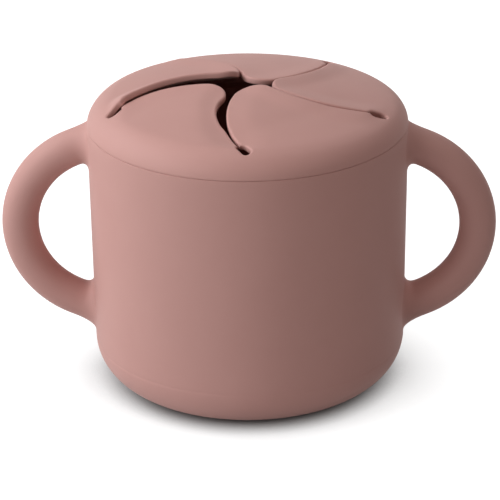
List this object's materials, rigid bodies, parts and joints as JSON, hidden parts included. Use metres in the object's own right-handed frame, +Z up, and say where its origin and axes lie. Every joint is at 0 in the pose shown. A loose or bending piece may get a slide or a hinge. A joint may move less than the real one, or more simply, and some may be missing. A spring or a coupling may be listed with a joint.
{
  "type": "toddler snack cup",
  "caption": "Soft round cup with loop handles and a press-on domed lid, cut into curved flaps that let a small hand in and keep snacks from spilling.",
  "frame": {"origin": "on the ground, under the middle of the cup's overall box", "axes": "+Z up, +X through the middle of the right handle, -Y towards the viewer in the picture"},
  "size_m": [0.14, 0.09, 0.0891],
  "materials": {
    "silicone": "matte dusty rose silicone"
  },
  "bodies": {
    "cup": {"cup_body": "silicone", "handle_right": "silicone", "handle_left": "silicone"},
    "lid": {"lid_rim": "silicone"},
    "flap_front_right": {"flap_front_right": "silicone"},
    "flap_right": {"flap_right": "silicone"},
    "flap_back": {"flap_back": "silicone"},
    "flap_left": {"flap_left": "silicone"},
    "flap_front_left": {"flap_front_left": "silicone"}
  },
  "joints": [
    {"name": "lid_lift", "type": "slide", "parent": "cup", "child": "lid", "axis": [0, 0, 1], "range_m": [0, 0.03]},
    {"name": "fold_front_right", "type": "hinge", "parent": "lid", "child": "flap_front_right", "pos_m": [0.01704, -0.02345, 0.08232], "axis": [-0.809, -0.5878, 0], "range_deg": [-55, 80], "stiffness_Nm_per_rad": 0.02},
    {"name": "fold_right", "type": "hinge", "parent": "lid", "child": "flap_right", "pos_m": [0.02757, 0.00896, 0.08232], "axis": [0.309, -0.9511, 0], "range_deg": [-55, 80], "stiffness_Nm_per_rad": 0.02},
    {"name": "fold_back", "type": "hinge", "parent": "lid", "child": "flap_back", "pos_m": [0, 0.02899, 0.08232], "axis": [1, 0, 0], "range_deg": [-55, 80], "stiffness_Nm_per_rad": 0.02},
    {"name": "fold_left", "type": "hinge", "parent": "lid", "child": "flap_left", "pos_m": [-0.02757, 0.00896, 0.08232], "axis": [0.309, 0.9511, 0], "range_deg": [-55, 80], "stiffness_Nm_per_rad": 0.02},
    {"name": "fold_front_left", "type": "hinge", "parent": "lid", "child": "flap_front_left", "pos_m": [-0.01704, -0.02345, 0.08232], "axis": [-0.809, 0.5878, 0], "range_deg": [-55, 80], "stiffness_Nm_per_rad": 0.02}
  ]
}
